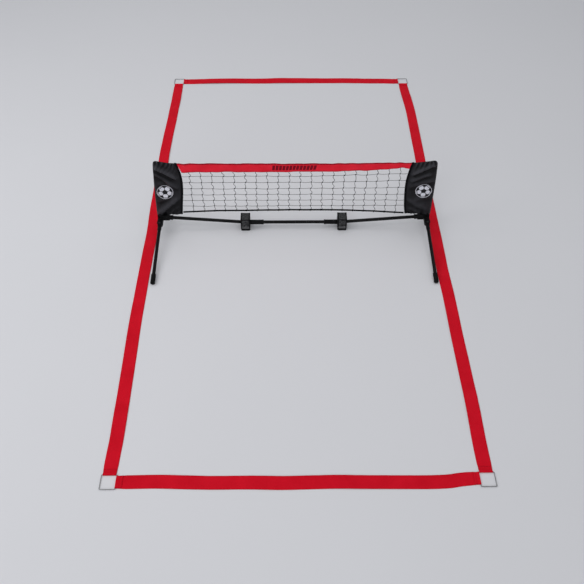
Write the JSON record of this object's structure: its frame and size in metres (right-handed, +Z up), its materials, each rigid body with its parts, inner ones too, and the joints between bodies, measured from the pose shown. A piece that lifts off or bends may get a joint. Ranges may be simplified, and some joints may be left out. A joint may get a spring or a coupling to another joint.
{
  "type": "football tennis set",
  "caption": "Portable football tennis set: a low net in cloth sleeves on a tube frame with turning legs, standing across a court of webbing lines joined by square wire rings.",
  "frame": {"origin": "centre of the court, on the ground that the set stands on", "axes": "+X to the right along the net, +Y along the court away from its front line, +Z up"},
  "size_m": [1.29, 2.452, 0.353],
  "materials": {
    "webbing": "red woven polyester webbing with a soft sheen",
    "wire": "bright plated steel wire",
    "plastic": "black moulded plastic with a fine grain",
    "tube": "satin black paint on steel tube",
    "rubber": "matt black rubber",
    "pin": "plain steel rivet",
    "rod": "black glass-fibre rod",
    "sleeve_cloth": "black woven polyester",
    "band_cloth": "red woven polyester",
    "twine": "black knotted polyethylene twine"
  },
  "bodies": {
    "court": {"line_left": "webbing", "line_right": "webbing"},
    "front_end": {"line_front": "webbing", "ring_front_left": "wire", "ring_front_right": "wire"},
    "back_end": {"line_back": "webbing", "ring_back_left": "wire", "ring_back_right": "wire"},
    "net_frame": {"hub_left": "plastic", "hub_right": "plastic", "bar_left": "tube", "bar_middle": "tube", "bar_right": "tube", "coupler_left": "plastic", "coupler_right": "plastic", "foot_left": "plastic", "foot_right": "plastic", "sole_left": "rubber", "sole_right": "rubber", "leg_pin_front_left": "pin", "leg_pin_front_right": "pin", "leg_pin_rear_left": "pin", "leg_pin_rear_right": "pin"},
    "front_left_leg": {"knuckle_front_left": "plastic", "leg_front_left": "tube", "leg_cap_front_left": "rubber"},
    "front_right_leg": {"knuckle_front_right": "plastic", "leg_front_right": "tube", "leg_cap_front_right": "rubber"},
    "rear_left_leg": {"knuckle_rear_left": "plastic", "leg_rear_left": "tube", "leg_cap_rear_left": "rubber"},
    "rear_right_leg": {"knuckle_rear_right": "plastic", "leg_rear_right": "tube", "leg_cap_rear_right": "rubber"},
    "posts": {"post_left": "rod", "post_right": "rod", "post_cap_left": "plastic", "post_cap_right": "plastic"},
    "net": {"sleeve_left": "sleeve_cloth", "sleeve_right": "sleeve_cloth", "net_band": "band_cloth", "net_mesh": "twine", "net_cord": "twine"}
  },
  "joints": [
    {"name": "front_line_fold", "type": "hinge", "parent": "court", "child": "front_end", "pos_m": [0, -1.1685, 0.0025], "axis": [-1, 0, 0], "range_deg": [0, 165]},
    {"name": "back_line_fold", "type": "hinge", "parent": "court", "child": "back_end", "pos_m": [0, 1.1685, 0.0025], "axis": [1, 0, 0], "range_deg": [0, 165]},
    {"name": "frame_lift", "type": "slide", "parent": "court", "child": "net_frame", "axis": [0, 0, 1], "range_m": [0, 0.1]},
    {"name": "front_left_leg_turn", "type": "hinge", "parent": "net_frame", "child": "front_left_leg", "pos_m": [-0.573, -0.018, 0.05], "axis": [0, 0, 1], "range_deg": [0, 90]},
    {"name": "front_right_leg_turn", "type": "hinge", "parent": "net_frame", "child": "front_right_leg", "pos_m": [0.573, -0.018, 0.05], "axis": [0, 0, -1], "range_deg": [0, 90]},
    {"name": "rear_left_leg_turn", "type": "hinge", "parent": "net_frame", "child": "rear_left_leg", "pos_m": [-0.573, 0.058, 0.05], "axis": [0, 0, -1], "range_deg": [0, 90]},
    {"name": "rear_right_leg_turn", "type": "hinge", "parent": "net_frame", "child": "rear_right_leg", "pos_m": [0.573, 0.058, 0.05], "axis": [0, 0, 1], "range_deg": [0, 90]},
    {"name": "posts_lift", "type": "slide", "parent": "net_frame", "child": "posts", "axis": [0, 0, 1], "range_m": [0, 0.045]},
    {"name": "net_lift", "type": "slide", "parent": "posts", "child": "net", "axis": [0, 0, 1], "range_m": [0, 0.31]}
  ]
}
